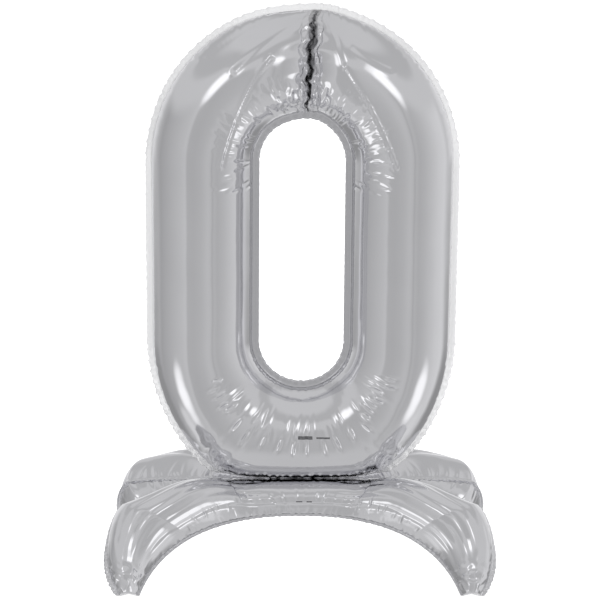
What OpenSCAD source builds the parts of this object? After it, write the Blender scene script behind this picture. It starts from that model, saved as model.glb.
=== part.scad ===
// Standing foil number balloon: an inflated ring digit on two inflated arched legs.
// Millimetres, +Z up, the readable face of the digit looks along -Y, origin under the middle.

/* [Digit] */
// Height from the floor to the tip of the welded margin
total_h = 740; // [600:5:900]
// Half width between the seal lines
digit_half_w = 192; // [150:1:230]
// Half width of the hole between its seal lines
hole_half_w = 64; // [45:1:90]
// Height of the centre of the lower bend of the hole
low_centre_z = 305; // [250:1:350]
// Radius of the lower outside corners
low_corner_r = 234; // [180:1:260]
// Half of the tube's thickness from front to back
digit_half_d = 59; // [35:1:75]
// How far the pinch at the top reaches along the tube
pinch_len = 66; // [30:1:90]
// Roundness of the lobes beside the pinch: low is full, high is sharp
pinch_fall = 0.46; // [0.4:0.02:0.8]
// Width of the welded margin outside
outer_margin = 9; // [4:0.5:14]
// Width of the welded margin inside the hole
hole_margin = 9.5; // [3:0.5:12]

/* [Waist] */
// Height of the line where the digit and both legs are welded together
waist_z = 117; // [90:1:150]
// Half length of that line
waist_half = 109; // [70:1:130]
// Distance from that line to where each pocket starts
waist_gap = 4; // [3:0.5:8]
// Softness of the corner where a round side meets the straight waist
waist_corner = 7; // [4:1:12]
// Flatness of the sheets beside the waist: high leaves them flat for longer
weld_flat = 2.3; // [1.6:0.1:2.6]

/* [Legs] */
// Lean of the arch under the middle, from straight down
lean = 48; // [40:1:60]
// Width of the leg under the middle
leg_mid_w = 50; // [40:1:75]
// Shoulder of the leg: across, outward and up
shoulder_x = 231; // [200:1:250]
shoulder_y = 58; // [40:1:80]
shoulder_z = 95; // [80:1:110]
// Middle of the foot: across and outward
foot_x = 215; // [190:1:235]
foot_y = 126; // [100:1:160]
// Width of the flattened end of the foot
foot_w = 22; // [16:1:40]
// Half thickness of the leg at the shoulder, on its outward side
leg_out_d = 54; // [24:1:60]
// Half thickness of the leg at the shoulder, on its inward side
leg_in_d = 34; // [24:1:44]
// How far the outward bulge rolls over towards the outside of the bend
leg_roll = 8; // [0:1:12]
// Half thickness just above the foot
foot_d = 32; // [20:1:40]
// Width of the welded margin of the legs
leg_margin = 7; // [3:0.5:10]

/* [Film] */
// Thickness of the film
film_t = 1; // [0.8:0.1:2]
// Thickness of the welded margins
weld_t = 1.2; // [0.8:0.1:2]
// Width of the filling valves
valve_w = 30; // [20:1:40]

/* [Part] */
// Which piece to draw

/* [Hidden] */
face_y = weld_t / 2 + 0.02;
lip = 2;
top_centre_z = total_h - outer_margin - digit_half_w;
ring_n = 25;
ring_v = 10;
leg_n = 18;
leg_v = 8;
low_corner_x = digit_half_w - low_corner_r;
low_corner_z = low_centre_z + 4;
silver = [0.72, 0.73, 0.75];
silver_weld = [0.62, 0.63, 0.66];
clear_film = [0.85, 0.88, 0.9];

// ---------- helpers ----------
function mix(a, b, t) = a + (b - a) * t;
function clamp01(t) = min(1, max(0, t));
function ease(t) = let (c = clamp01(t)) c * c * (3 - 2 * c);
function bezier(p, t) =
    pow(1 - t, 3) * p[0] + 3 * t * pow(1 - t, 2) * p[1]
    + 3 * t * t * (1 - t) * p[2] + pow(t, 3) * p[3];
function unit(v) = v / norm(v);
function flip_x(p) = [-p[0], p[1], p[2]];
function flat(rows) = [for (row = rows) for (p = row) p];

// Triangles of a sheet with an outer and an inner skin, nu stations of nv points.
// A closed sheet joins its last station to the first one.
function skin(nu, nv, closed, base, turn) =
    [for (i = [0 : (closed ? nu - 1 : nu - 2)])
        for (j = [0 : nv - 2])
            let (k = (i + 1) % nu, a = base + i * nv + j, b = base + k * nv + j)
                for (f = [[a, b, b + 1], [a, b + 1, a + 1]])
                    turn ? [f[2], f[1], f[0]] : f];
function side(nu, nv, closed, j, turn) =
    [for (i = [0 : (closed ? nu - 1 : nu - 2)])
        let (k = (i + 1) % nu, a = i * nv + j, b = k * nv + j, m = nu * nv)
            for (f = [[a, b, b + m], [a, b + m, a + m]])
                turn ? [f[2], f[1], f[0]] : f];
function cap(nu, nv, i, turn) =
    [for (j = [0 : nv - 2])
        let (a = i * nv + j, m = nu * nv)
            for (f = [[a, a + 1, a + 1 + m], [a, a + 1 + m, a + m]])
                turn ? [f[2], f[1], f[0]] : f];

module shell(outer, inner, closed, turn) {
    nu = len(outer);
    nv = len(outer[0]);
    faces = concat(
        skin(nu, nv, closed, 0, turn),
        skin(nu, nv, closed, nu * nv, !turn),
        side(nu, nv, closed, 0, !turn),
        side(nu, nv, closed, nv - 1, turn),
        closed ? [] : cap(nu, nv, 0, turn),
        closed ? [] : cap(nu, nv, nu - 1, !turn));
    polyhedron(points = concat(flat(outer), flat(inner)), faces = faces, convexity = 8);
}

// ---------- the ring of the digit ----------
// Reach of the lower outline from the centre of the hole's lower bend, in the direction (c, s):
// the round corner, softly cut off by the straight waist.
function low_reach(c, s) =
    let (qx = -low_corner_x, qz = low_centre_z - low_corner_z,
         b = qx * c + qz * s, k = qx * qx + qz * qz - low_corner_r * low_corner_r,
         arc = -b + sqrt(b * b - k),
         weld = (s > -0.05) ? 4000 : (waist_z + waist_gap - low_centre_z) / s)
    arc - waist_corner * ln(1 + exp((arc - weld) / waist_corner));
// Inner and outer seal points of half a turn of the ring, from the top (0) through the right side
// to the bottom (1).
function ring_at(t) =
    (t < 0.42) ?
        let (a = 90 - 90 * pow(t / 0.42, 1.25), c = cos(a), s = sin(a))
            [[hole_half_w * c, top_centre_z + hole_half_w * s],
             [digit_half_w * c, top_centre_z + digit_half_w * s]]
    : (t < 0.56) ?
        let (z = mix(top_centre_z, low_centre_z, (t - 0.42) / 0.14))
            [[hole_half_w, z], [digit_half_w, z]]
    :   let (a = -90 * (t - 0.56) / 0.44, c = cos(a), s = sin(a), r = low_reach(c, s))
            [[hole_half_w * c, low_centre_z + hole_half_w * s],
             [r * c, low_centre_z + r * s]];
// Share of the full thickness beside the pinch, and how far t is into the lower bend.
function pinch_at(t, p) =
    let (s = abs((p[0][0] + p[1][0]) / 2) / pinch_len)
    (t > 0.42 || s >= 1) ? 1 : pow(1 - pow(1 - s, 2), pinch_fall);
function low_at(t) = ease((t - 0.6) / 0.38);

// One point of the ring's skin: v runs from the outside seal (0) to the hole's seal (180).
function ring_skin(t, v, inset) =
    let (p = ring_at(abs(t)),
         e = unit(p[1] - p[0]),
         w = norm(p[1] - p[0]) / 2,
         m = (p[0] + p[1]) / 2,
         q = mix(1.12, (v < 90) ? weld_flat : 1.12, low_at(abs(t))),
         h = (digit_half_d - film_t) * pinch_at(abs(t), p) * mix(1, 0.93, low_at(abs(t))),
         f = pow(max(sin(v), 0), q),
         x = m + e * (w - inset) * cos(v),
         y = face_y + film_t - inset + max(h, 0) * f)
    [(t < 0 ? -1 : 1) * x[0], -y, x[1]];
function ring_lip(t, out, inset) =
    let (p = ring_at(abs(t)), e = unit(p[1] - p[0]),
         x = out ? p[1] + e * lip : p[0] - e * min(lip, hole_margin))
    [(t < 0 ? -1 : 1) * x[0], -(face_y + film_t - inset), x[1]];
function ring_ts() = concat(
    [for (i = [0 : ring_n]) i / ring_n],
    [for (i = [ring_n - 1 : -1 : 1]) -i / ring_n]);
function spread_v(j, n) = let (s = j / n) 180 * mix(s, ease(s), -0.25);
function ring_rows(sy, inset) =
    [for (t = ring_ts())
        [for (p = concat(
            [ring_lip(t, true, inset)],
            [for (j = [0 : ring_v]) ring_skin(t, spread_v(j, ring_v), inset)],
            [ring_lip(t, false, inset)]))
            [p[0], sy * p[1], p[2]]]];

module digit_sheet(sy) {
    color(silver)
        shell(ring_rows(sy, 0), ring_rows(sy, film_t), true, sy < 0);
}

// Outlines of the ring in its own plane, pushed out by d.
function outline(which, d) =
    [for (t = ring_ts())
        let (p = ring_at(abs(t)), e = unit(p[1] - p[0]),
             x = (which == 1) ? p[1] + e * d : p[0] - e * d)
        [(t < 0 ? -1 : 1) * x[0], x[1]]];

module upright(thick) {
    translate([0, thick / 2, 0])
        rotate([90, 0, 0])
            linear_extrude(height = thick)
                children();
}

module digit_outer_seal() {
    color(silver_weld)
        upright(weld_t)
            intersection() {
                difference() {
                    polygon(outline(1, outer_margin));
                    polygon(outline(1, 0));
                }
                translate([-400, waist_z + waist_gap + 0.5])
                    square([800, 1000]);
            }
}

module digit_hole_seal() {
    color(silver_weld)
        upright(weld_t)
            difference() {
                polygon(outline(0, 0));
                polygon(outline(0, hole_margin));
            }
}

module digit_top_weld() {
    color(silver_weld)
        translate([-4, -weld_t / 2, top_centre_z + hole_half_w])
            cube([8, weld_t, digit_half_w - hole_half_w]);
}

module waist_weld() {
    color(silver_weld)
        translate([-waist_half, -weld_t / 2, waist_z - 0.6])
            cube([2 * waist_half, weld_t, waist_gap + 1]);
}

// ---------- a leg ----------
// Right half of the front leg; u runs from the middle of the arch (0) to the foot (1).
lean_e = [0, sin(lean), cos(lean)];
top_mid = [0, 0, waist_z] - waist_gap * lean_e;
low_mid = top_mid - leg_mid_w * lean_e;
function outer_seam(u) =
    (u < 0.3) ? [waist_half * u / 0.3, top_mid[1], top_mid[2]]
    : (u < 0.62) ? bezier([
            [waist_half, top_mid[1], top_mid[2]],
            [waist_half + 30, top_mid[1] - 8, top_mid[2]],
            [shoulder_x - 44, 10 - shoulder_y, shoulder_z + 9],
            [shoulder_x, -shoulder_y, shoulder_z]], (u - 0.3) / 0.32)
    : bezier([
            [shoulder_x, -shoulder_y, shoulder_z],
            [shoulder_x + 16, -shoulder_y - 9, shoulder_z - 18],
            [foot_x + 41, 12 - foot_y, 33],
            [foot_x + foot_w / 2, -foot_y, weld_t + 0.02]], (u - 0.62) / 0.38);
function inner_seam(u) = bezier([
        low_mid,
        [88, low_mid[1], low_mid[2] + 1],
        [178, low_mid[1] - 28, 66],
        [foot_x - foot_w / 2, -foot_y, weld_t + 0.02]], pow(u, 1.12));
// Half thickness on the side that faces out (k = 1) and on the side that faces in (k = -1).
function leg_depth(u, k) =
    let (grown = (k > 0) ? mix(20, leg_out_d, ease((u - 0.22) / 0.3))
                         : mix(10, leg_in_d, ease((u - 0.12) / 0.5)),
         lower = mix(grown, foot_d, ease((u - 0.62) / 0.3)),
         foot = sqrt(max(0, 1 - pow(max(0, u - 0.86) / 0.155, 2))))
    mix(10, lower, foot);
function leg_shape(u, v, k) =
    mix((v < 90) ? weld_flat : 1.7, (k > 0) ? 1 : 1.25, ease((u - 0.15) / 0.45));
function roll_at(u, k) = (k > 0) ? leg_roll * ease((u - 0.3) / 0.2) * ease((1 - u) / 0.2) : 0;
function leg_frame(u) =
    let (a = outer_seam(u), b = inner_seam(u),
         u0 = max(u - 0.01, 0), u1 = min(u + 0.01, 1),
         m0 = (outer_seam(u0) + inner_seam(u0)) / 2,
         m1 = (outer_seam(u1) + inner_seam(u1)) / 2,
         e = unit(a - b),
         s = unit(m1 - m0),
         n = unit(cross(s, e)))
    [a, b, e, (u < 0.001) ? [0, -cos(lean), sin(lean)] : n];
function floor_z(p) = [p[0], p[1], max(p[2], weld_t + 0.02)];
function foot_flat(u, p) = (u > 0.999) ? [p[0], p[1], weld_t + 0.02] : floor_z(p);
function leg_skin(u, v, k, inset) =
    let (fr = leg_frame(abs(u)), w = norm(fr[0] - fr[1]) / 2, m = (fr[0] + fr[1]) / 2,
         h = leg_depth(abs(u), k) - film_t,
         f = pow(max(sin(v), 0), leg_shape(abs(u), v, k)),
         y = face_y + film_t - inset + h * f,
         x = (w - inset) * cos(v) + roll_at(abs(u), k) * f,
         p = foot_flat(abs(u), m + fr[2] * x + fr[3] * k * y))
    (u < 0) ? flip_x(p) : p;
function leg_lip(u, out, k, inset) =
    let (fr = leg_frame(abs(u)),
         d = out ? fr[0] + fr[2] * lip : fr[1] - fr[2] * lip,
         p = foot_flat(abs(u), d + fr[3] * k * (face_y + film_t - inset)))
    (u < 0) ? flip_x(p) : p;
function leg_us() = [for (i = [-leg_n : leg_n]) i / leg_n];
function leg_rows(sy, k, inset) =
    [for (u = leg_us())
        [for (p = concat(
            [leg_lip(u, true, k, inset)],
            [for (j = [0 : leg_v]) leg_skin(u, spread_v(j, leg_v), k, inset)],
            [leg_lip(u, false, k, inset)]))
            [p[0], sy * p[1], p[2]]]];

module leg_sheet(sy, k) {
    color(silver)
        shell(leg_rows(sy, k, 0), leg_rows(sy, k, film_t), false, sy * k > 0);
}

// Welded margin along a seam; it narrows to the lip where the leg meets the waist.
function margin_at(u) = mix(lip, leg_margin, ease((abs(u) - 0.3) / 0.08));
function margin_row(u, out, k) =
    let (fr = leg_frame(abs(u)),
         wide = out ? margin_at(u) : min(leg_margin, 5),
         a = out ? fr[0] : fr[1] - fr[2] * wide,
         b = out ? fr[0] + fr[2] * wide : fr[1],
         n = fr[3] * k * weld_t / 2)
    [for (p = [b + n, a + n])
        let (q = foot_flat(abs(u), p))
            (u < 0) ? flip_x(q) : q];
function margin_rows(sy, out, k) =
    [for (u = leg_us())
        [for (p = margin_row(u, out, k)) [p[0], sy * p[1], p[2]]]];

module leg_seal(sy, out) {
    color(silver_weld)
        shell(margin_rows(sy, out, 1), margin_rows(sy, out, -1), false, sy > 0);
}

module foot_tab(sx, sy) {
    color(silver_weld)
        translate([sx * foot_x, -sy * foot_y, 0])
            cylinder(h = weld_t, r = foot_w / 2 + 2, $fn = 48);
}

// ---------- filling valves ----------
// A point of a wall's skin in the middle plane, and the direction into the pocket there.
function digit_wall(v) =
    let (a = ring_skin(1, v - 2, 0), b = ring_skin(1, v + 2, 0), c = ring_skin(1, v, 0),
         s = unit(b - a), n = unit([0, s[2], -s[1]]))
    [[c[1], c[2]], [n[1], n[2]]];
function leg_wall(v) =
    let (a = leg_skin(0, v - 2, 1, 0), b = leg_skin(0, v + 2, 1, 0), c = leg_skin(0, v, 1, 0),
         s = unit(b - a), n = unit([0, -s[2], s[1]]))
    [[c[1], c[2]], [n[1], n[2]]];
function wall_at(leg, v) = leg ? leg_wall(v) : digit_wall(v);
function strip_rows(leg, x0, x1, v0, v1, sy, depth) =
    [for (x = [x0, x1])
        [for (j = [0 : 6])
            let (q = wall_at(leg, mix(v0, v1, j / 6)), p = q[0] + q[1] * depth)
                [x, sy * p[0], p[1]]]];

module wall_strip(leg, x0, x1, v0, v1, sy, d0, d1) {
    shell(strip_rows(leg, x0, x1, v0, v1, sy, d0),
          strip_rows(leg, x0, x1, v0, v1, sy, d1), false, sy > 0);
}

module valve_film(leg, sy, d0) {
    color(clear_film)
        wall_strip(leg, -valve_w / 2, valve_w / 2, leg ? 60 : 48, leg ? 120 : 100, sy, d0, d0 + 0.4);
}

module inlet(leg, sy) {
    color(silver_weld)
        wall_strip(leg, -8, 10, leg ? 84 : 50, leg ? 88 : 52, sy, -0.5, -0.02);
}

digit_sheet(1);  // digit_front_sheet
digit_sheet(-1);  // digit_back_sheet
digit_outer_seal();
digit_hole_seal();
digit_top_weld();
waist_weld();
inlet(false, 1);  // digit_inlet
valve_film(false, 1, film_t + 1.3);  // digit_valve_outer_film
valve_film(false, 1, film_t + 2.1);  // digit_valve_inner_film
leg_sheet(1, 1);  // front_leg_front_sheet
leg_sheet(1, -1);  // front_leg_back_sheet
leg_seal(1, true);  // front_leg_outer_seal
leg_seal(1, false);  // front_leg_inner_seal
foot_tab(-1, 1);  // front_leg_left_foot_tab
foot_tab(1, 1);  // front_leg_right_foot_tab
inlet(true, 1);  // front_leg_inlet
valve_film(true, 1, film_t + 1.3);  // front_leg_valve_outer_film
valve_film(true, 1, film_t + 2.1);  // front_leg_valve_inner_film
leg_sheet(-1, -1);  // rear_leg_front_sheet
leg_sheet(-1, 1);  // rear_leg_back_sheet
leg_seal(-1, true);  // rear_leg_outer_seal
leg_seal(-1, false);  // rear_leg_inner_seal
foot_tab(-1, -1);  // rear_leg_left_foot_tab
foot_tab(1, -1);  // rear_leg_right_foot_tab
inlet(true, -1);  // rear_leg_inlet
valve_film(true, -1, film_t + 1.3);  // rear_leg_valve_outer_film
valve_film(true, -1, film_t + 2.1);  // rear_leg_valve_inner_film
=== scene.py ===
"""Looks of a standing foil number balloon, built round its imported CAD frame.

Metres, +Z up, face towards -Y."""
import math
import bmesh
import bpy
import numpy as np
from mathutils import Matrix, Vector


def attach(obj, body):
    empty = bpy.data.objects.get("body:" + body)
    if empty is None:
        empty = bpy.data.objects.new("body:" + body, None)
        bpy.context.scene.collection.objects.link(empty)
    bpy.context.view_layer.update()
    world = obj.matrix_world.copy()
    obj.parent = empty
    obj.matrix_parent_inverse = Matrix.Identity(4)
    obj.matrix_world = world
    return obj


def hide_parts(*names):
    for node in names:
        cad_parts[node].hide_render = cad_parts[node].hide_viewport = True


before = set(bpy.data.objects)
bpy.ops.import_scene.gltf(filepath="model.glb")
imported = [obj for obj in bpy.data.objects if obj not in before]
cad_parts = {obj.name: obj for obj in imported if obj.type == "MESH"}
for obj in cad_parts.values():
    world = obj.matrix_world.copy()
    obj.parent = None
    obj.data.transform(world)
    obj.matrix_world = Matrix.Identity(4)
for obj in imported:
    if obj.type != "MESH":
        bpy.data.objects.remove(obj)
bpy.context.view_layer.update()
MM = 0.001

# ---------- sizes in millimetres that are the CAD's own ----------
TOTAL_H, HALF_W, HOLE_W = 740.0, 192.0, 64.0
OUT_MARGIN, HOLE_MARGIN = 9.0, 9.5
# heights of the centres of the digit's top and bottom bends, and half its thickness
TOP_Z, LOW_Z, HALF_D = TOTAL_H - OUT_MARGIN - HALF_W, 305.0, 59.0
# the pinch weld thins the digit this far to each side, more steeply the smaller the power
PINCH, PINCH_FALL = 66.0, 0.46
WAIST_Z, WAIST_HALF = 117.0, 109.0
# how far the middle plane of a leg leans from upright
LEG_LEAN = math.radians(48)
SHOULDER = np.array([231.0, -58.0, 95.0])
# how far a foot stands from the middle plane, and half the leg's thickness just above it
FOOT_Y, FOOT_D = 126.0, 32.0
# height of the ends of a leg's seams over the floor
SOLE = 1.22
# half a leg's thickness at the shoulder on its outward and inward side, how far the outward bulge
# rolls over towards the outside of the bend, and the width of the welded margin
LEG_OUT_D, LEG_IN_D, LEG_ROLL, LEG_MARGIN = 54.0, 34.0, 8.0, 7.0

# ---------- sizes in millimetres that differ from the CAD's, to be nearer the photo ----------
# radius and centre height of the arcs that join the digit's straight sides to its waist
CORNER_R, CORNER_Z = 240.0, 306.0
# how softly those arcs turn into the waist line
WAIST_CORNER = 11.0
# the film runs closer to the waist line, and a leg is a little wider in its middle
WAIST_GAP, LEG_MID_W = 0.9, 53.0
# the feet are further out and a little narrower
FOOT_X, FOOT_W = 218.0, 21.0

# ---------- the finer shape ----------
# parts of the way down the ring where the top bend ends and the lower bend starts
TOP_END, LOW_START = 0.42, 0.56
# parts of the way along a leg's outer seam where the waist ends and the shoulder is
WAIST_END, SHOULDER_AT = 0.3, 0.62
# power of the sine that shapes a cross-section, flatter beside the seam the higher it is: round the
# digit, on the digit at the waist, and on the upper and lower side of a leg at the waist
ROUND_FLAT, DIGIT_FLAT, LEG_FLAT, LEG_LOW_FLAT = 1.10, 1.35, 1.95, 1.7
# how high the foil stands over the pinch weld, as a part of its full half thickness
PINCH_FLOOR = 0.2
# rows of faces on each side of the middle that the pinch weld takes up; they take the pinch material, a
# rougher weld whose darker colour is painted shade of the crease
PINCH_ROWS = 7
# half the distance between the two films of a welded margin
FILM = 0.28
# the digit leans a little to the right of its straight CAD frame
DIGIT_LEAN = math.radians(0.45)
# where the puckers cross the waist weld, to the left and right of its middle
WAIST_PUCKERS = np.cumsum(np.random.default_rng(7).uniform(13, 27, 12)) - 122
# radii at which places round the lower and the upper bend are measured
LOW_FOLDS_R, TOP_FOLDS_R = 128.0, 92.0
# the wrinkles fade out this close to a seam
SEAM_CALM = 3.0
# further than anything on the balloon
FAR = 1000.0
# rows of points down one side of the digit, rows along half of a leg, and points across a sheet
DIGIT_ROWS, DIGIT_ACROSS = 560, 112
LEG_ROWS, LEG_ACROSS = 260, 72
# material slots of a foil piece
FOIL_SLOT, WELD_SLOT, MARGIN_SLOT, PINCH_WELD_SHADE_SLOT = range(4)
# heights of the dark dashes on the digit and on the legs, which are painted shade of the inlet slits
DIGIT_DASH_Z, LEG_DASH_Z = 188.5, 97.5
# rows on each side of the middle that a dark dash of painted slit shade may reach
DASH_ROWS = 80


# ---------- helpers ----------
def ease(t):
    t = np.clip(t, 0, 1)
    return t * t * (3 - 2 * t)


def mix(a, b, t):
    return a + (b - a) * t


def bezier(p, t):
    p = [np.asarray(q, float) for q in p]
    t = np.asarray(t)[..., None]
    return (1 - t) ** 3 * p[0] + 3 * t * (1 - t) ** 2 * p[1] + 3 * t * t * (1 - t) * p[2] + t ** 3 * p[3]


def fold_shape(x, wide):
    """A valley along x = 0 with a low ridge on one side."""
    return -np.exp(-(np.abs(x) / wide) ** 1.6) + 0.45 * np.exp(-((x - 2.0 * wide) / (1.1 * wide)) ** 2)


def folds(s, d, places, rand, deep, wide, long, slant):
    """Narrow folds that start at a seam (d = 0) at places along it (s), and fade out over 'long'."""
    out = np.zeros(np.broadcast(s, d).shape)
    for c in places:
        a = deep * rand.uniform(0.45, 1.25)
        w = wide * rand.uniform(0.7, 1.35)
        ln = long * rand.uniform(0.45, 1.3)
        x = s - c - rand.normal(0, slant) * d
        near = np.broadcast_to(np.abs(x) < 6 * w + 4, out.shape)
        fade = np.clip(1 - np.broadcast_to(d, out.shape)[near] / ln, 0, 1) ** 1.1
        mirror = 1 if c % 2 > 1 else -1
        out[near] += a * fade * fold_shape(np.broadcast_to(x, out.shape)[near] * mirror, w)
    return out


def streaks(u, w, places, rand):
    """Short separate folds: places are (u, w, half length, width, depth), and each runs along w."""
    out = np.zeros(u.shape)
    for cu, cw, half, wide, deep in places:
        du, dw = u - cu, w - cw
        near = (np.abs(du) < 5 * wide) & (np.abs(dw) < 1.7 * half)
        x = du[near] - rand.normal(0, 0.10) * dw[near]
        fade = np.exp(-(np.abs(dw[near]) / half) ** 3)
        out[near] += deep * fold_shape(x * rand.choice([-1, 1]), wide) * fade
    return out


def creases(px, pz, lines):
    """Long soft creases in the plane of the digit: (three control points, depth, width)."""
    out = np.zeros(px.shape)
    t = np.linspace(0, 1, 60)
    for pts, deep, wide in lines:
        a, b, c = [np.array(p, float) for p in pts]
        curve = (1 - t[:, None]) ** 2 * a + 2 * (t * (1 - t))[:, None] * b + (t ** 2)[:, None] * c
        best = np.full(px.shape, 1e9)
        side = np.zeros(px.shape)
        for i in range(len(t)):
            step = curve[min(i + 1, len(t) - 1)] - curve[max(i - 1, 0)]
            dx, dz = px - curve[i, 0], pz - curve[i, 1]
            dist = np.hypot(dx, dz)
            closer = dist < best
            best = np.where(closer, dist, best)
            side = np.where(closer, np.sign(dx * step[1] - dz * step[0]), side)
        out += deep * fold_shape(best * side, wide)
    return out


def soft_noise(shape, cells, rand):
    """Smooth random values, most of them from -1 to 1, on a grid with about 'cells' bumps each way."""
    n, m = shape
    a, b = cells
    g = rand.uniform(-1, 1, (a + 3, b + 3))
    x = np.linspace(0, a - 0.001, n)
    y = np.linspace(0, b - 0.001, m)

    def spline(v, t):
        i = t.astype(int)
        f = t - i
        w = [(1 - f) ** 3 / 6, (3 * f ** 3 - 6 * f ** 2 + 4) / 6,
             (-3 * f ** 3 + 3 * f ** 2 + 3 * f + 1) / 6, f ** 3 / 6]
        return sum(v[i + k] * w[k].reshape((-1,) + (1,) * (v.ndim - 1)) for k in range(4))

    return spline(spline(g, x).T, y).T * 1.6


def waves(s, lengths, rand):
    """A sum of sines of the given wavelengths (mm) along s, with random phases."""
    return sum(rand.uniform(0.4, 1) * np.sin(2 * math.pi * s / k + rand.uniform(0, 6.28)) for k in lengths)


def run(p):
    """Distance along a line of points."""
    d = np.linalg.norm(np.diff(p, axis=0), axis=1)
    return np.concatenate([[0], np.cumsum(d)])


def spaced(fn, n, dense=None):
    """n values from 0 to 1 that are evenly spaced along the curve fn."""
    t = np.linspace(0, 1, 6000)
    step = np.linalg.norm(np.diff(fn(t), axis=0), axis=1)
    if dense is not None:
        step = step * dense(0.5 * (t[1:] + t[:-1]))
    s = np.concatenate([[0], np.cumsum(step)])
    return np.interp(np.linspace(0, s[-1], n), s, t)


def arc_across(X, Y):
    """Distance from each seam of every point of the cross-sections."""
    seg = np.sqrt(np.diff(X, axis=1) ** 2 + np.diff(Y, axis=1) ** 2)
    arc = np.concatenate([np.zeros((len(X), 1)), np.cumsum(seg, 1)], 1)
    return arc, arc[:, -1:] - arc


def grid_object(name, grids, closed_u, bands=(), seam_rows=0):
    """A closed mesh of grids of points (millimetres) that close across; open ends get a fan each.

    bands lists (first column, end column, material slot). The other faces in the first and last
    seam_rows rows take the pinch weld's slot, whose darker colour is painted shade of the crease,
    and all the rest the first slot."""
    co, faces, slots = [], [], []
    for points in grids:
        base = len(co)
        nu, nv = points.shape[:2]
        co += (points.reshape(-1, 3) * MM).tolist()
        for i in range(nu if closed_u else nu - 1):
            here, ahead = base + i * nv, base + (i + 1) % nu * nv
            plain = PINCH_WELD_SHADE_SLOT if i < seam_rows or i >= nu - seam_rows else FOIL_SLOT
            for j in range(nv):
                m = (j + 1) % nv
                faces.append((here + j, ahead + j, ahead + m, here + m))
                slots.append(next((slot for a, b, slot in bands if a <= j < b), plain))
        if not closed_u:
            for row, order in ((0, 1), (nu - 1, -1)):
                hub = len(co)
                co.append((points[row].mean(0) * MM).tolist())
                for j in range(nv):
                    faces.append([hub] + [base + row * nv + (j + 1) % nv, base + row * nv + j][::order])
                    slots.append(FOIL_SLOT)
    mesh = bpy.data.meshes.new(name)
    mesh.from_pydata(co, [], faces)
    mesh.polygons.foreach_set("material_index", slots)
    mesh.polygons.foreach_set("use_smooth", [True] * len(faces))
    bm = bmesh.new()
    bm.from_mesh(mesh)
    bmesh.ops.recalc_face_normals(bm, faces=bm.faces)
    bm.to_mesh(mesh)
    bm.free()
    ob = bpy.data.objects.new(name, mesh)
    bpy.context.scene.collection.objects.link(ob)
    return ob


def inner_band(outs, ins, across):
    """The faces of an inner margin, from the edge of one sheet round to the edge of the other."""
    first = len(outs) + across
    return first - 1, first + 2 * len(ins), WELD_SLOT


# ---------- digit ----------
def ring_at(t):
    """Inner and outer seal points of the ring, for t from 0 (top) to 1 (bottom) on the right side."""
    t = np.asarray(t, float)
    top, low = t < TOP_END, t >= LOW_START
    # angles round the two bends, and the height on the straight side between them
    a1 = np.radians(90 - 90 * np.clip(t / TOP_END, 0, 1))
    z2 = mix(TOP_Z, LOW_Z, np.clip((t - TOP_END) / (LOW_START - TOP_END), 0, 1))
    a3 = np.radians(-90 * np.clip((t - LOW_START) / (1 - LOW_START), 0, 1))
    c, s = np.cos(a3), np.sin(a3)
    # how far the corner arc lies from the centre of the lower bend, cut off softly by the waist line
    qx, qz = CORNER_R - HALF_W, LOW_Z - CORNER_Z
    b = qx * c + qz * s
    arc = -b + np.sqrt(b * b - (qx * qx + qz * qz - CORNER_R ** 2))
    weld = np.where(s > -0.05, FAR, (WAIST_Z + WAIST_GAP - LOW_Z) / np.minimum(s, -0.05))
    r = arc - WAIST_CORNER * np.log1p(np.exp(np.clip((arc - weld) / WAIST_CORNER, -60, 60)))

    def point(reach_top, x_side, reach_low):
        x = np.where(top, reach_top * np.cos(a1), np.where(low, reach_low * c, x_side))
        z = np.where(top, TOP_Z + reach_top * np.sin(a1), np.where(low, LOW_Z + reach_low * s, z2))
        return np.stack([x, z], -1)

    return point(HOLE_W, HOLE_W, HOLE_W), point(HALF_W, HALF_W, r)


# creases that run from the pinch down both lobes, as three (x, z) points, depth and width
LOBE_CREASES = [
    ([(4, 734), (-34, 706), (-84, 660)], 1.0, 3.2),
    ([(-42, 676), (-78, 628), (-100, 540)], 2.0, 1.5),
    ([(2, 736), (-52, 728), (-120, 676)], 0.9, 4.5),
    ([(22, 728), (40, 704), (50, 672)], 0.9, 2.6),
    ([(52, 664), (88, 618), (118, 540)], 2.0, 1.5),
    ([(60, 690), (84, 672), (108, 662)], 0.6, 2.4)]


def pinch_line(z):
    """Where the pinch runs: it slants a little and wanders."""
    t = np.clip((z - TOP_Z - HOLE_W) / (HALF_W - HOLE_W), -0.1, 1.1)
    return mix(6, 15, t) + 1.3 * np.sin(z / 5.5) + 0.9 * np.sin(z / 2.9 + 1) - 2.5 * np.sin(math.pi * t)


def shear_pinch(P):
    """Move the middle of the top bend sideways onto the pinch line."""
    near = np.exp(-(P[..., 0] / 36) ** 2) * ease((P[..., 2] - TOP_Z - HOLE_W + 30) / 30)
    P[..., 0] += near * pinch_line(P[..., 2])
    return P


def polar(P, centre_z, mid_r):
    """Distance round a bend at the radius mid_r, and radius, of every point."""
    dx, dz = P[..., 0], P[..., 2] - centre_z
    r = np.hypot(dx, dz)
    return np.arctan2(np.abs(dz), dx) * mid_r, r


def lower_streaks(P, rand):
    """Short streaks round the lower bend, closer together on its sides, and fainter ones among them."""
    u, r = polar(P, LOW_Z, LOW_FOLDS_R)
    places, a = [], 18.0
    while a < 164:
        side = abs(a - 90) > 42
        reach = rand.uniform(108, 124) if side else rand.uniform(128, 138)
        half = rand.uniform(5, 9) if side else rand.uniform(7, 11)
        wide, deep = rand.uniform(1.5, 2.1), rand.uniform(1.5, 2.5)
        places.append((math.radians(a) * LOW_FOLDS_R, reach, half, wide, deep))
        a += rand.uniform(3.2, 6) if side else rand.uniform(7.5, 11.5)
    for _ in range(34):
        at, reach = math.radians(rand.uniform(20, 160)) * LOW_FOLDS_R, rand.uniform(92, 122)
        places.append((at, reach, rand.uniform(6, 14), rand.uniform(1.6, 3.0), rand.uniform(0.3, 0.8)))
    return streaks(u, r, places, rand)


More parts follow.
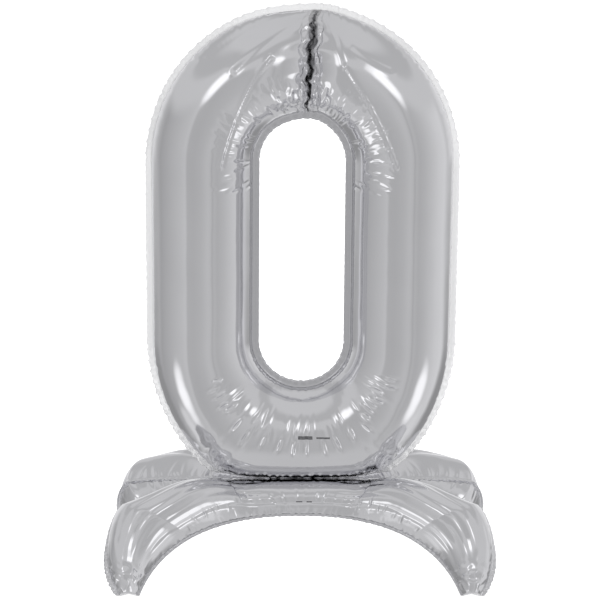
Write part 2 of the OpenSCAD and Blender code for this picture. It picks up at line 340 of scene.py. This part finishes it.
def upper_blotches(P, rand):
    """Small blotches round the upper bend."""
    u, r = polar(P, TOP_Z, TOP_FOLDS_R)
    places = []
    for side in (0, 180):
        for _ in range(46):
            at = math.radians(abs(side - rand.uniform(2, 74))) * TOP_FOLDS_R
            reach = rand.uniform(72, 116)
            places.append((at, reach, rand.uniform(3, 8), rand.uniform(1.3, 2.4), rand.uniform(0.35, 1.0)))
    return streaks(u, r, places, rand)


def waist_folds(P, d_out, rand):
    """Puckers that cross the waist weld, and a row of bumps above it."""
    D = folds(P[..., 0], d_out, WAIST_PUCKERS, rand, deep=1.2, wide=1.8, long=20, slant=0.1)
    for x in np.concatenate([WAIST_PUCKERS + 5, WAIST_PUCKERS - 5]):
        at = rand.uniform(27, 33) + (abs(x) / 60) ** 2
        D += 2.0 * np.exp(-((P[..., 0] - x) / 2.3) ** 2 - ((d_out - at) / 2.3) ** 2)
    return D


def pinch_folds(P, t, sx, rand):
    """Crumpled edges of the pinch weld, and short folds that leave it."""
    shape = P.shape[:2]
    r = polar(P, TOP_Z, TOP_FOLDS_R)[1]
    x_c = np.where((t < 0.25)[:, None], np.abs(P[..., 0]), FAR)
    ridged = 1 - 2 * np.abs(soft_noise(shape, (190, 36), rand))
    fine = 1 - 2 * np.abs(soft_noise(shape, (330, 60), rand))
    D = (1.6 * ridged + 0.8 * fine) * np.exp(-(x_c / 9.5) ** 2)
    D += 1.2 * ridged * np.exp(-((x_c - 24) / 11) ** 2 - ((r - HOLE_W - 26) / 17) ** 2)
    for side in (1, -1):
        near = np.where(sx[:, None] == side, x_c, FAR)
        places = np.cumsum(rand.uniform(5, 13, 14)) + HOLE_W + 2
        D += folds(r, near, places, rand, deep=1.1, wide=1.8, long=20, slant=0.45)
        wander = 3.5 * soft_noise(shape, (4, 18), rand)[:1]
        D -= 1.2 * np.exp(-(np.abs(near - 10 - wander) / 1.6) ** 1.6)
    return D


def digit_wrinkles(P, d_out, d_in, s_in, s_out, t, sx, rand):
    """How far the wrinkles lift each point of a sheet. The order of the calls fixes the random draws."""
    shape = d_out.shape
    low, under = (t > LOW_START)[:, None], (t > 0.7)[:, None]
    top = (t < TOP_END + 0.02)[:, None]
    D = low * lower_streaks(P, rand)
    D += top * upper_blotches(P, rand)
    # folds at the seams of the two bends, away from the pinch
    bend = (t < 0.40) & (t > 0.03) | (t > 0.6)
    places = seam_places(s_in, bend, 7.0, rand)
    D += folds(s_in[:, None], d_in, places, rand, deep=0.55, wide=1.5, long=20, slant=0.08)
    places = seam_places(s_out, bend, 13.0, rand)
    D += folds(s_out[:, None], d_out, places, rand, deep=1.1, wide=2.8, long=26, slant=0.2)
    D += under * waist_folds(P, d_out, rand)
    D += pinch_folds(P, t, sx, rand)
    D += creases(P[..., 0], P[..., 2], LOBE_CREASES) * top
    # uneven film all over, strongest in the middle of the sheet
    from_out, from_in = np.minimum(1, d_out / 30), np.minimum(1, d_in / 30)
    D += 0.06 * soft_noise(shape, (150, 22), rand)
    D += 0.22 * soft_noise(shape, (60, 6), rand) * from_out * from_in
    # crumpled bottom corners
    corner = under * np.exp(-((np.abs(P[..., 0]) - 112) / 30) ** 2 - ((P[..., 2] - 148) / 30) ** 2)
    D += 1.5 * corner * from_out * soft_noise(shape, (230, 22), rand)
    return D * np.minimum(1, np.minimum(d_out, d_in) / SEAM_CALM)


def seam_places(s, keep, gap, rand):
    """Random places along a seam, where keep is true."""
    at = np.cumsum(gap * rand.uniform(0.65, 1.4, int(s[-1] / gap * 1.3)))
    return [c for c in at if c < s[-1] and keep[int(np.argmin(np.abs(s - c)))]]


def digit_rows(t):
    """How close together the rows lie: closer at the pinch and round the lower bend."""
    return 1 + 1.6 * np.exp(-(t / 0.1) ** 2) + 0.9 * ease((t - 0.57) / 0.06)


def build_digit():
    """The digit's foil, and the points and normals of its front sheet."""
    tt = spaced(lambda t: sum(ring_at(t)) / 2, DIGIT_ROWS, digit_rows)
    t = np.concatenate([tt, tt[-2:0:-1]])
    sx = np.concatenate([np.ones(DIGIT_ROWS), -np.ones(DIGIT_ROWS - 2)])
    pin, pout = ring_at(t)
    for p in (pin, pout):
        p[:, 0] *= sx
        p[0, 0] = p[DIGIT_ROWS - 1, 0] = 0
    w = np.linalg.norm(pout - pin, axis=1) / 2
    e = (pout - pin) / (2 * w[:, None])
    m = (pin + pout) / 2
    low = ease((t - 0.6) / 0.38)
    fall = np.clip(np.abs(m[:, 0]) / PINCH, 0, 1)
    pinch = np.where(t > TOP_END, 1, mix(PINCH_FLOOR, 1, (1 - (1 - fall) ** 2) ** PINCH_FALL))
    # v goes across a sheet, from the outer seam to the inner one
    v = np.linspace(0, math.pi, DIGIT_ACROSS)
    v = v - 0.12 * np.sin(2 * v)
    q = np.where(v[None] < math.pi / 2, mix(ROUND_FLAT, DIGIT_FLAT, low)[:, None], ROUND_FLAT)
    X = w[:, None] * np.cos(v)[None]
    Y = (HALF_D * pinch * mix(1, 0.93, low))[:, None] * np.sin(v)[None].clip(0) ** q
    d_out, d_in = arc_across(X, Y)
    P = np.stack([m[:, 0, None] + e[:, 0, None] * X, -Y, m[:, 1, None] + e[:, 1, None] * X], -1)
    N = np.cross(np.roll(P, -1, 0) - np.roll(P, 1, 0), np.gradient(P, axis=1))
    N /= np.linalg.norm(N, axis=-1, keepdims=True) + 1e-9
    N = np.where(N[..., 1:2] > 0, -N, N)
    s_in, s_out = run(pin), run(pout)
    sheets = []
    for seed, sy in ((21, 1), (22, -1)):
        D = digit_wrinkles(P, d_out, d_in, s_in, s_out, t, sx, np.random.default_rng(seed))
        Q = P + N * D[..., None]
        Q[..., 1] = sy * (np.minimum(Q[..., 1], -0.05) - FILM)
        sheets.append(Q)
    # welded margins: wavy, the outer one leaning back at the top and narrow along the waist
    rand = np.random.default_rng(5)
    bend = np.where((t < TOP_END) | (t > LOW_START), 1.0, 0.35)
    free = np.where(t > 0.8, ease((np.abs(pout[:, 0]) - WAIST_HALF + 14) / 22), 1)
    wide = (OUT_MARGIN - 0.8 + 0.7 * bend * waves(s_out, (13.7, 7.3), rand)) * free + 1.2 * (1 - free)
    wave = waves(s_out, (13.0, 9.4, 21.0), rand) * 0.9 * bend
    back = mix(0.12, 0.95, ease((0.46 - t) / 0.12)) + 0.25 * ease((t - LOW_START) / 0.1)
    outs = []
    for k in (1.0, 0.66, 0.33):
        edge = pout + e * (wide * k * np.cos(0.55 * back))[:, None]
        outs.append((edge, (wave * k + back * OUT_MARGIN * k ** 1.2) * free))
    wide = HOLE_MARGIN - 0.3 + 0.3 * bend * waves(s_in, (13.2, 7.1), rand)
    wave = waves(s_in, (13.0, 9.5), rand) * 0.35 * bend
    ins = [(pin - e * (wide * k)[:, None], wave * k) for k in (0.33, 0.66, 1.0)]

    def rim(row, y):
        edge, depth = row
        return np.stack([edge[:, 0], depth + y, edge[:, 1]], -1)[:, None]

    front = [rim(row, -FILM) for row in outs] + [sheets[0]] + [rim(row, -FILM) for row in ins]
    rear = [rim(row, FILM) for row in ins[::-1]] + [sheets[1][:, ::-1]]
    rear += [rim(row, FILM) for row in outs[::-1]]
    points = shear_pinch(np.concatenate(front + rear, 1))
    n_out, last = len(outs), points.shape[1]
    bands = [inner_band(outs, ins, DIGIT_ACROSS), (0, n_out, MARGIN_SLOT),
             (last - n_out - 1, last, MARGIN_SLOT)]
    ob = grid_object("digit_foil", [points], True, bands, PINCH_ROWS)
    return ob, points[:, n_out:n_out + DIGIT_ACROSS], N


# ---------- legs ----------
# direction up a leg's middle plane, and the middles of its outer and inner seam
E0 = np.array([0.0, math.sin(LEG_LEAN), math.cos(LEG_LEAN)])
TOP_MID = np.array([0.0, 0.0, WAIST_Z]) - WAIST_GAP * E0
LOW_MID = TOP_MID - LEG_MID_W * E0
# creases that follow a leg from its middle to its foot: parts of the way across at both ends,
# depth, width, and how far from the middle each starts
LEG_CREASES = [(0.26, 0.34, 1.7, 5.0, 30), (0.44, 0.50, 1.3, 3.0, 45),
               (0.58, 0.62, 1.2, 4.0, 20), (0.76, 0.74, 1.3, 3.0, -60)]


def outer_seam(u):
    """The leg's outer seam, for u from 0 (middle) to 1 (foot): the waist, the shoulder, the outside."""
    u = np.asarray(u, float)
    y, z = TOP_MID[1:]
    along = np.stack([WAIST_HALF * u / WAIST_END, y + 0 * u, z + 0 * u], -1)
    over = bezier([[WAIST_HALF, y, z], [WAIST_HALF + 30, y - 8, z], SHOULDER + [-44, 10, 9], SHOULDER],
                  np.clip((u - WAIST_END) / (SHOULDER_AT - WAIST_END), 0, 1))
    down = bezier([SHOULDER, SHOULDER + [16, -9, -18], [FOOT_X + 38, 12 - FOOT_Y, 33],
                   [FOOT_X + FOOT_W / 2, -FOOT_Y, SOLE]],
                  np.clip((u - SHOULDER_AT) / (1 - SHOULDER_AT), 0, 1))
    u = u[..., None]
    return np.where(u < WAIST_END, along, np.where(u < SHOULDER_AT, over, down))


def inner_seam(u):
    """The leg's inner seam, which is the underside of the arch, from its middle to the foot."""
    return bezier([LOW_MID, [88, LOW_MID[1], LOW_MID[2] + 1], [178, LOW_MID[1] - 28, 66],
                   [FOOT_X - FOOT_W / 2, -FOOT_Y, SOLE]], np.asarray(u, float) ** 1.12)


def seam_mid(u):
    return (outer_seam(u) + inner_seam(u)) / 2


def both_halves(p):
    """The right half of a leg, from its middle to its foot, with its mirror image before it."""
    return np.concatenate([p[:0:-1] * np.array([-1, 1, 1.0]), p], 0)


def leg_wrinkles(outside, A, M, s_in, s_out, U, d_out, d_in, rand):
    """How far the wrinkles lift each point of a sheet. The order of the calls fixes the random draws."""
    D = np.zeros(d_out.shape)
    x = np.abs(M[:, 0])
    whole = (d_out + d_in)[:, :1]
    for near_part, far_part, deep, wide, start in LEG_CREASES:
        wander = 2.5 * soft_noise((len(x), 3), (12, 3), rand)[:, 1:2]
        line = whole * mix(near_part, far_part, (x / 220)[:, None]) + wander
        gate = ease((x - start) / 45) * ease((226 - x) / 22)
        D += deep * gate[:, None] * fold_shape(d_out - line, wide)
    # short pleats across the lower side of the arch
    for c in seam_places(s_in, x < 190, 10.5, rand):
        at, half = rand.uniform(20, 32), rand.uniform(4, 9)
        near = np.abs(s_in - c) < 14
        D[near] += streaks(np.broadcast_to(s_in[near, None] - c, d_in[near].shape), d_in[near],
                           [(0.0, at, half, rand.uniform(1.1, 1.8), rand.uniform(0.4, 0.9))], rand)
    # folds at the inner seam, and at the outer one away from the waist and along it
    at_waist = np.abs(A[:, 0]) < WAIST_HALF + 5
    places = seam_places(s_in, x < FAR, 9.0, rand)
    D += folds(s_in[:, None], d_in, places, rand, deep=0.8, wide=1.8, long=16, slant=0.15)
    places = seam_places(s_out, ~at_waist, 12.0, rand)
    D += folds(s_out[:, None], d_out, places, rand, deep=1.2, wide=2.4, long=22, slant=0.25)
    places = seam_places(s_out, at_waist, 11.0, rand)
    D += folds(s_out[:, None], d_out, places, rand, deep=0.5, wide=1.3, long=12, slant=0.15)
    if outside:
        D += folds(M[:, :1], d_out, WAIST_PUCKERS, rand, deep=1.3, wide=1.7, long=22, slant=0.1)
    # crimped end
    tip = ease((U - 0.86) / 0.07)[:, None]
    ridged = 1 - 2 * np.abs(soft_noise(D.shape, (110, 10), rand))
    D += tip * (1.3 * ridged + 0.4 * soft_noise(D.shape, (200, 20), rand))
    # uneven film all over, strongest in the middle of the sheet
    from_out, from_in = np.minimum(1, d_out / 14), np.minimum(1, d_in / 14)
    D += 0.5 * soft_noise(D.shape, (40, 5), rand) * from_out * from_in
    D += 0.12 * soft_noise(D.shape, (110, 18), rand)
    calm = np.minimum(1, np.minimum(d_out, d_in) / SEAM_CALM)
    return D * calm * mix(1, 0.3, ease((U - 0.975) / 0.025))[:, None]


def build_leg(name, sy, seed):
    """A leg's foil, and the points and normals of its outside sheet; sy is -1 for the rear leg."""
    uu = spaced(seam_mid, LEG_ROWS)
    a, b = outer_seam(uu), inner_seam(uu)
    w = np.linalg.norm(a - b, axis=1) / 2
    e = (a - b) / (2 * w[:, None])
    n = np.cross(seam_mid(np.minimum(uu + 0.01, 1)) - seam_mid(np.maximum(uu - 0.01, 0)), e)
    n /= np.linalg.norm(n, axis=1)[:, None]
    n[0] = [0, -math.cos(LEG_LEAN), math.sin(LEG_LEAN)]
    A, B, E, Nn, M = [both_halves(p) for p in (a, b, e, n, (a + b) / 2)]
    W, U = np.concatenate([w[:0:-1], w]), np.concatenate([uu[:0:-1], uu])
    s_out, s_in = run(A), run(B)
    # v goes across a sheet, from the outer seam to the inner one
    v = np.linspace(0, math.pi, LEG_ACROSS)
    v = v - 0.1 * np.sin(2 * v)
    sheets, normals = [], []
    for k in (1, -1):
        outside = k > 0
        rand = np.random.default_rng(seed + k)
        if outside:
            grown = mix(20, LEG_OUT_D, ease((U - 0.22) / 0.3))
        else:
            grown = mix(10, LEG_IN_D, ease((U - 0.12) / 0.5))
        lower = mix(grown, FOOT_D, ease((U - SHOULDER_AT) / 0.3))
        foot = np.sqrt(np.clip(1 - (np.clip(U - 0.86, 0, 1) / 0.155) ** 2, 0, 1))
        q = mix(np.where(v[None] < math.pi / 2, LEG_FLAT, LEG_LOW_FLAT), 1.0 if outside else 1.2,
                ease((U - 0.15) / 0.45)[:, None])
        f = np.sin(v)[None].clip(0) ** q
        roll = LEG_ROLL * ease((U - 0.3) / 0.2) * ease((1 - U) / 0.2) * outside
        X = W[:, None] * np.cos(v)[None] + roll[:, None] * f
        Y = mix(10, lower, foot)[:, None] * f
        d_out, d_in = arc_across(X, Y)
        P = M[:, None] + E[:, None] * X[..., None] + Nn[:, None] * (k * Y)[..., None]
        N = np.cross(np.gradient(P, axis=0), np.gradient(P, axis=1))
        N /= np.linalg.norm(N, axis=-1, keepdims=True) + 1e-9
        N *= np.sign((N[:, LEG_ACROSS // 2] * Nn * k).sum(-1) + 1e-12)[:, None, None]
        D = leg_wrinkles(outside, A, M, s_in, s_out, U, d_out, d_in, rand)
        sheets.append(P + N * D[..., None] + Nn[:, None] * (k * FILM))
        normals.append(N)
    # welded margins: the outer one leans inwards over the shoulder and is crimped near the foot
    rand = np.random.default_rng(seed + 9)
    away = ease((U - 0.3) / 0.08)
    crimp = mix(0.6, 1.3, ease((U - 0.8) / 0.15)) * away
    wide = mix(2, LEG_MARGIN - 0.6, away) + 0.5 * crimp * waves(s_out, (9.1, 5.7), rand)
    wave = 0.8 * crimp * waves(s_out, (8.2, 5.6, 13.0), rand)
    lean = np.radians(55) * away * ease((0.97 - U) / 0.2)
    outs = []
    for k in (1.0, 0.5):
        side, lift = wide * k * np.cos(lean), wave * k - wide * k * np.sin(lean)
        outs.append(A + E * side[:, None] + Nn * lift[:, None])
    wave = 0.5 * waves(s_in, (8.4, 14.3), rand)
    ins = [B - E * (3.4 * k) + Nn * (wave * k)[:, None] for k in (0.5, 1.0)]

    def rim(edge, k):
        return (edge + Nn * (k * FILM))[:, None]

    front = [rim(edge, 1) for edge in outs] + [sheets[0]] + [rim(edge, 1) for edge in ins]
    rear = [rim(edge, -1) for edge in ins[::-1]] + [sheets[1][:, ::-1]]
    rear += [rim(edge, -1) for edge in outs[::-1]]
    points = np.concatenate(front + rear, 1)
    points[..., 2] = np.maximum(points[..., 2], 0.0)
    points[..., 1] *= sy
    ob = grid_object(name, [points], False, [inner_band(outs, ins, LEG_ACROSS)])
    return ob, points[:, len(outs):len(outs) + LEG_ACROSS], normals[0] * np.array([1, sy, 1])


# ---------- dark dashes, painted shade of the inlet slits ---
def sample(grid, i, j):
    """Bilinear value of a grid of points at fractional indices."""
    i0, j0 = int(i), int(j)
    a, b = i - i0, j - j0
    return ((1 - a) * (1 - b) * grid[i0, j0] + a * (1 - b) * grid[i0 + 1, j0]
            + (1 - a) * b * grid[i0, j0 + 1] + a * b * grid[i0 + 1, j0 + 1])


def shade_dash_strip(skin, normals, middle, x0, x1, z, tall):
    """Cross-sections of a thin dark dash, painted shade of an inlet slit, that lies on the skin at height
    z from x0 to x1.
    """
    rows = []
    # the search stays near the middle row and away from the columns beside the seams
    first, end = middle - DASH_ROWS, middle + DASH_ROWS + 1
    for x in np.linspace(x0, x1, 14):
        corners = []
        for dz, lift in ((0.5, 0.22), (-0.5, 0.22), (-0.5, -0.25), (0.5, -0.25)):
            i = middle
            for _ in range(4):
                column = np.array([sample(skin, i, j)[2] for j in range(skin.shape[1] - 1)])
                inner, at = column[4:-4], np.arange(4, len(column) - 4)
                order = 1 if inner[-1] > inner[0] else -1
                j = np.interp(z + dz * tall, inner[::order], at[::order])
                xs = skin[first:end, int(round(j)), 0]
                turn = 1 if xs[-1] > xs[0] else -1
                i = np.interp(x, xs[::turn], np.arange(first, end)[::turn])
            n = sample(normals, i, j)
            corners.append(sample(skin, i, j) + n / np.linalg.norm(n) * lift)
        rows.append(corners)
    return np.array(rows)


def lean_digit(ob):
    """Turn a piece of the digit about the waist, but leave the waist line itself level."""
    c, s = math.cos(DIGIT_LEAN), math.sin(DIGIT_LEAN)
    for vert in ob.data.vertices:
        x, z = vert.co.x, vert.co.z - WAIST_Z * MM
        vert.co.x = x * c + z * s
        vert.co.z = WAIST_Z * MM + z * c - x * s * ease(z / 0.06)


# ---------- pieces ----------
digit, digit_skin, digit_normals = build_digit()
# dark dashes at the digit's inlet: painted shade of the inlet slit
digit_shade_dash = grid_object("digit_inlet_shade_dashes", [
    shade_dash_strip(digit_skin, digit_normals, DIGIT_ROWS - 1, x0, x1, DIGIT_DASH_Z, tall)
    for x0, x1, tall in ((-3, 15.5, 4.2), (20.5, 38, 2.2))], False)
for ob in (digit, digit_shade_dash):
    lean_digit(ob)
    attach(ob, "digit")
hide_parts("digit_front_sheet", "digit_back_sheet", "digit_outer_seal", "digit_hole_seal",
            "digit_top_weld", "waist_weld")
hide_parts("digit_inlet")
foils, shade_dashes_made = [digit], [digit_shade_dash]
for side, sy, seed in (("front", 1, 40), ("rear", -1, 60)):
    leg, leg_skin, leg_normals = build_leg(side + "_leg_foil", sy, seed)
    # dark dashes at the leg's inlet: painted shade of the inlet slit
    leg_shade_dash = grid_object(side + "_leg_inlet_shade_dashes", [
        shade_dash_strip(leg_skin, leg_normals, LEG_ROWS - 1, x0, x1, LEG_DASH_Z, 1.3)
        for x0, x1 in ((-5, 3), (8.5, 15.5))], False)
    for ob in (leg, leg_shade_dash):
        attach(ob, side + "_leg")
    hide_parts(*[side + "_leg_" + k for k in ("front_sheet", "back_sheet", "outer_seal", "inner_seal",
                                                       "left_foot_tab", "right_foot_tab")])
    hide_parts(side + "_leg_inlet")
    foils.append(leg)
    shade_dashes_made.append(leg_shade_dash)


# ---------- materials ----------
# share of the light that the foil mirrors
FOIL = 0.82


def node_material(name):
    m = bpy.data.materials.new(name)
    m.use_nodes = True
    nt = m.node_tree
    return m, nt, nt.nodes["Principled BSDF"]


def noise_colour(nt, target, scale, detail, low, high):
    """Colour that varies between two values with a noise of the object's own coordinates."""
    tc = nt.nodes.new("ShaderNodeTexCoord")
    noise = nt.nodes.new("ShaderNodeTexNoise")
    noise.inputs["Scale"].default_value = scale
    noise.inputs["Detail"].default_value = detail
    nt.links.new(tc.outputs["Object"], noise.inputs["Vector"])
    ramp = nt.nodes.new("ShaderNodeValToRGB")
    for el, pos, col in zip(ramp.color_ramp.elements, (0.3, 0.7), (low, high)):
        el.position = pos
        el.color = (*col, 1)
    nt.links.new(noise.outputs["Fac"], ramp.inputs["Fac"])
    nt.links.new(ramp.outputs["Color"], target)
    return tc


def foil_material(name, base, rough, bump, metallic=1.0):
    m, nt, bsdf = node_material(name)
    bsdf.inputs["Metallic"].default_value = metallic
    tc = noise_colour(nt, bsdf.inputs["Base Color"], 9.0, 3.0, [c * 0.955 for c in base], base)
    fine = nt.nodes.new("ShaderNodeTexNoise")
    fine.inputs["Scale"].default_value = 60.0
    fine.inputs["Detail"].default_value = 4.0
    nt.links.new(tc.outputs["Object"], fine.inputs["Vector"])
    span = nt.nodes.new("ShaderNodeMapRange")
    span.inputs["To Min"].default_value = rough * 0.75
    span.inputs["To Max"].default_value = rough * 1.3
    nt.links.new(fine.outputs["Fac"], span.inputs["Value"])
    nt.links.new(span.outputs["Result"], bsdf.inputs["Roughness"])
    crinkle = nt.nodes.new("ShaderNodeTexVoronoi")
    crinkle.feature = "SMOOTH_F1"
    crinkle.inputs["Scale"].default_value = 75.0
    nt.links.new(tc.outputs["Object"], crinkle.inputs["Vector"])
    height = nt.nodes.new("ShaderNodeMath")
    height.operation = "MULTIPLY_ADD"
    height.inputs[1].default_value = 0.5
    nt.links.new(fine.outputs["Fac"], height.inputs[0])
    nt.links.new(crinkle.outputs["Distance"], height.inputs[2])
    bmp = nt.nodes.new("ShaderNodeBump")
    bmp.inputs["Strength"].default_value = bump
    bmp.inputs["Distance"].default_value = 0.001
    nt.links.new(height.outputs["Value"], bmp.inputs["Height"])
    nt.links.new(bmp.outputs["Normal"], bsdf.inputs["Normal"])
    return m


def film_material():
    m, nt, bsdf = node_material("valve_film")
    noise_colour(nt, bsdf.inputs["Base Color"], 40.0, 2.0, (0.72, 0.75, 0.78), (0.88, 0.9, 0.92))
    bsdf.inputs["Roughness"].default_value = 0.22
    bsdf.inputs["Alpha"].default_value = 0.6
    return m


# the near-black colour of the inlet dashes is painted shade of the inlet slits
def slit_shade_material():
    m, nt, bsdf = node_material("inlet_print")
    noise_colour(nt, bsdf.inputs["Base Color"], 400.0, 2.0, (0.055, 0.055, 0.06), (0.11, 0.11, 0.115))
    bsdf.inputs["Roughness"].default_value = 0.35
    return m


foil = foil_material("silver_foil", (FOIL, FOIL, FOIL * 1.023), rough=0.10, bump=0.03)
weld = foil_material("welded_margin", (0.68, 0.68, 0.70), rough=0.22, bump=0.25)
margin = foil_material("crimped_margin", (0.975, 0.975, 0.98), rough=0.34, bump=0.25, metallic=0.6)
# the pinch weld is rougher and bumpier than the foil, and its darker colour is painted shade of the crease
# at the pinch
pinch = foil_material("pinch_weld_painted_shade", (0.62, 0.62, 0.63), rough=0.30, bump=0.7)
films, dash_shade_mat = film_material(), slit_shade_material()
for ob in foils:
    # in the order of the slots
    for mat in (foil, weld, margin, pinch):
        ob.data.materials.append(mat)
for ob in shade_dashes_made:
    ob.data.materials.append(dash_shade_mat)
for name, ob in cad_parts.items():
    ob.data.materials.clear()
    if "valve" in name:
        ob.data.materials.append(films)
    # the hidden CAD inlet parts take the same painted slit shade
    elif "inlet" in name:
        ob.data.materials.append(dash_shade_mat)
    elif name.endswith(("weld", "seal", "tab")):
        ob.data.materials.append(weld)
    else:
        ob.data.materials.append(foil)


# ---------- stage, light, camera ----------
def srgb(v):
    """Linear brightness of a grey from 0 to 255."""
    v = v / 255.0
    return v / 12.92 if v <= 0.04045 else ((v + 0.055) / 1.055) ** 2.4


def studio_floor():
    # wide enough to fill the picture behind the balloon from every side
    wide = 14.0
    mesh = bpy.data.meshes.new("studio_floor")
    corners = [(-wide, -wide, 0), (wide, -wide, 0), (wide, wide, 0), (-wide, wide, 0)]
    mesh.from_pydata(corners, [], [(0, 1, 2, 3)])
    ob = bpy.data.objects.new("studio_floor", mesh)
    bpy.context.scene.collection.objects.link(ob)
    m, _, bsdf = node_material("studio_white")
    bsdf.inputs["Base Color"].default_value = (0.92, 0.92, 0.92, 1)
    bsdf.inputs["Roughness"].default_value = 0.9
    bsdf.inputs["Emission Color"].default_value = (1, 1, 1, 1)
    bsdf.inputs["Emission Strength"].default_value = 0.75
    mesh.materials.append(m)
    # the foil reflects the room below instead, which is greyer than this white floor
    ob.visible_glossy = False


# brightness round the horizon: degrees from the front, to the right, and the grey wanted in the foil
AROUND = [(-180, 222), (-140, 208), (-122, 175), (-106, 158), (-92, 165), (-70, 174), (-45, 184),
          (-37, 189), (-33, 171), (-18, 170), (0, 175), (15, 184), (22, 181), (25, 166), (29, 177),
          (37, 171), (52, 178), (68, 188), (86, 199), (106, 205), (119, 190), (130, 205), (180, 222)]
# soft areas on both sides of the room: degrees from the front, degrees up, inner and outer radius
# in degrees, and the grey in the foil
PATCHES = [(64, -32, 3, 15, 252), (88, -48, 3, 14, 208), (30, 19, 0, 11, 264), (135, -30, 8, 26, 140)]
# bands of height (the sine of the angle up): where each starts and is full, and its grey in the foil
BANDS = [(0.18, 0.34, 190), (0.50, 0.58, 174), (0.70, 0.84, 192), (-0.55, -0.86, 188)]


def foil_grey(grey):
    """The colour of the room that the foil shows as this grey."""
    g = srgb(grey) / FOIL
    return g, g, g * 1.01, 1


def world_light():
    """The grey room that the foil mirrors."""
    world = bpy.data.worlds.new("studio")
    bpy.context.scene.world = world
    world.use_nodes = True
    nt = world.node_tree
    nt.nodes.clear()

    def node(kind, **values):
        n = nt.nodes.new(kind)
        for key, value in values.items():
            setattr(n, key, value)
        return n

    def step(value, lo, hi):
        n = node("ShaderNodeMapRange", interpolation_type="SMOOTHSTEP")
        n.inputs["From Min"].default_value = lo
        n.inputs["From Max"].default_value = hi
        nt.links.new(value, n.inputs["Value"])
        return n.outputs["Result"]

    def blend(factor, colour, grey):
        # a colour mix node's factor is input 0, its colours are inputs 6 and 7, its result is output 2
        n = node("ShaderNodeMix", data_type="RGBA")
        n.inputs[7].default_value = foil_grey(grey)
        nt.links.new(factor, n.inputs[0])
        nt.links.new(colour, n.inputs[6])
        return n.outputs[2]

    tc = node("ShaderNodeTexCoord")
    mapping = node("ShaderNodeMapping")
    mapping.inputs["Rotation"].default_value = (0, 0, math.radians(90))
    gradient = node("ShaderNodeTexGradient", gradient_type="RADIAL")
    ramp = node("ShaderNodeValToRGB")
    nt.links.new(tc.outputs["Generated"], mapping.inputs["Vector"])
    nt.links.new(mapping.outputs["Vector"], gradient.inputs["Vector"])
    nt.links.new(gradient.outputs["Fac"], ramp.inputs["Fac"])
    els = ramp.color_ramp.elements
    els.remove(els[-1])
    for i, (deg, grey) in enumerate(AROUND):
        el = els[0] if i == 0 else els.new(0.5 + deg / 360.0)
        el.position = 0.5 + deg / 360.0
        el.color = foil_grey(grey)
    # left and right folded together, so that each soft area is on both sides
    xyz = node("ShaderNodeSeparateXYZ")
    nt.links.new(tc.outputs["Generated"], xyz.inputs["Vector"])
    either = node("ShaderNodeMath", operation="ABSOLUTE")
    nt.links.new(xyz.outputs["X"], either.inputs[0])
    folded = node("ShaderNodeCombineXYZ")
    nt.links.new(either.outputs[0], folded.inputs["X"])
    nt.links.new(xyz.outputs["Y"], folded.inputs["Y"])
    nt.links.new(xyz.outputs["Z"], folded.inputs["Z"])
    colour = ramp.outputs["Color"]
    for start, full, grey in BANDS:
        colour = blend(step(xyz.outputs["Z"], start, full), colour, grey)
    for az, up, inner, outer, grey in PATCHES:
        az, up, inner, outer = [math.radians(angle) for angle in (az, up, inner, outer)]
        dot = node("ShaderNodeVectorMath", operation="DOT_PRODUCT")
        flat = math.cos(up)
        dot.inputs[1].default_value = (math.sin(az) * flat, -math.cos(az) * flat, math.sin(up))
        nt.links.new(folded.outputs["Vector"], dot.inputs[0])
        inside = step(dot.outputs["Value"], math.cos(outer), math.cos(inner))
        colour = blend(inside, colour, grey)
    background = node("ShaderNodeBackground")
    output = node("ShaderNodeOutputWorld")
    nt.links.new(colour, background.inputs["Color"])
    nt.links.new(background.outputs["Background"], output.inputs["Surface"])


def area_light(name, loc, aim, size, power):
    """A soft light for the floor and the margins, which doesn't show in the foil."""
    data = bpy.data.lights.new(name, "AREA")
    data.size = size
    data.energy = power
    ob = bpy.data.objects.new(name, data)
    ob.location = loc
    ob.rotation_euler = (Vector(aim) - Vector(loc)).to_track_quat("-Z", "Y").to_euler()
    ob.visible_glossy = False
    bpy.context.scene.collection.objects.link(ob)


studio_floor()
world_light()
area_light("fill_top", (0, 0.6, 2.6), aim=(0, 0.6, 0), size=3.0, power=26)
area_light("fill_front", (0, -1.9, 1.5), aim=(0, 0, 0.5), size=1.2, power=16)

# how far the camera looks down, and its lens and sensor in millimetres
PITCH, LENS, SENSOR = math.radians(13.25), 124.08, 36.0
cam_data = bpy.data.cameras.new("camera")
cam = bpy.data.objects.new("camera", cam_data)
bpy.context.scene.collection.objects.link(cam)
cam.location = (0, -2.6, 0.97)
cam.rotation_euler = (math.radians(90) - PITCH, 0, 0)
cam_data.sensor_width = SENSOR
cam_data.lens = LENS
bpy.context.scene.camera = cam
bpy.context.scene.view_settings.view_transform = "Standard"
bpy.context.scene.view_settings.look = "None"
